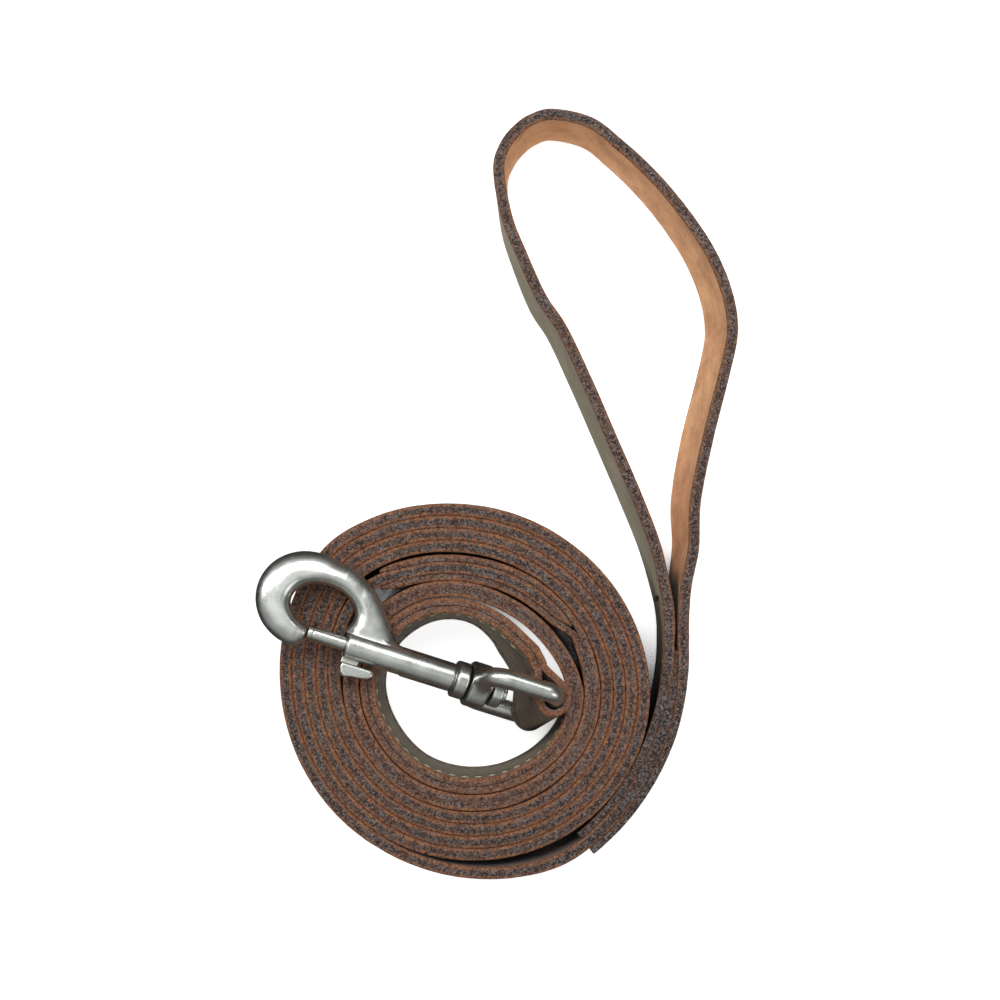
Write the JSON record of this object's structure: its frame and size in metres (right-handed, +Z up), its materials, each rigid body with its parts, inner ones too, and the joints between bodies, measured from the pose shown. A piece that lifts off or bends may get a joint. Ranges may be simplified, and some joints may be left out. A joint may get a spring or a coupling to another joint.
{
  "type": "training leash",
  "caption": "Flat leather training leash with a hand loop, coiled on edge, its doubled end holding a swivel bolt snap.",
  "frame": {"origin": "middle of the coiled leash's base, on the surface it stands on", "axes": "+Z up, across the strap's width; +Y from the coil towards the hand loop; +X to the right seen from above"},
  "size_m": [0.123, 0.1979, 0.0332],
  "materials": {
    "leather": "waxed dark brown, rust edges",
    "handle_leather": "dark grain side, tan flesh side",
    "thread": "waxed polyester thread",
    "dark_thread": "melted thread end",
    "nickel": "satin nickel plate",
    "spring_steel": "drawn wire"
  },
  "bodies": {
    "leash": {"main_strap": "leather", "handle_strap": "handle_leather", "hook_strap": "leather", "handle_seam_upper": "thread", "handle_seam_lower": "thread", "hook_seam_upper": "thread", "hook_seam_lower": "thread", "thread_knot": "dark_thread"},
    "eye": {"swivel_eye": "nickel"},
    "snap": {"snap_body": "nickel", "swivel_rivet": "nickel", "bolt_spring": "spring_steel"},
    "bolt": {"bolt": "nickel", "trigger": "nickel"}
  },
  "joints": [
    {"name": "eye_turn", "type": "hinge", "parent": "leash", "child": "eye", "pos_m": [0.01099, -0.05503, 0.01338], "axis": [0.3227, 0.3275, 0.888], "range_deg": [0, 45]},
    {"name": "snap_swivel", "type": "hinge", "parent": "eye", "child": "snap", "pos_m": [0.0109, -0.055, 0.0134], "axis": [0.9227, -0.3177, -0.2181], "range_deg": [0, 24]},
    {"name": "bolt_slide", "type": "slide", "parent": "snap", "child": "bolt", "axis": [0.9227, -0.3177, -0.2181], "range_m": [0, 0.0107], "stiffness_N_per_m": 300, "springref_m": -0.005, "deforming": ["bolt_spring"]}
  ]
}
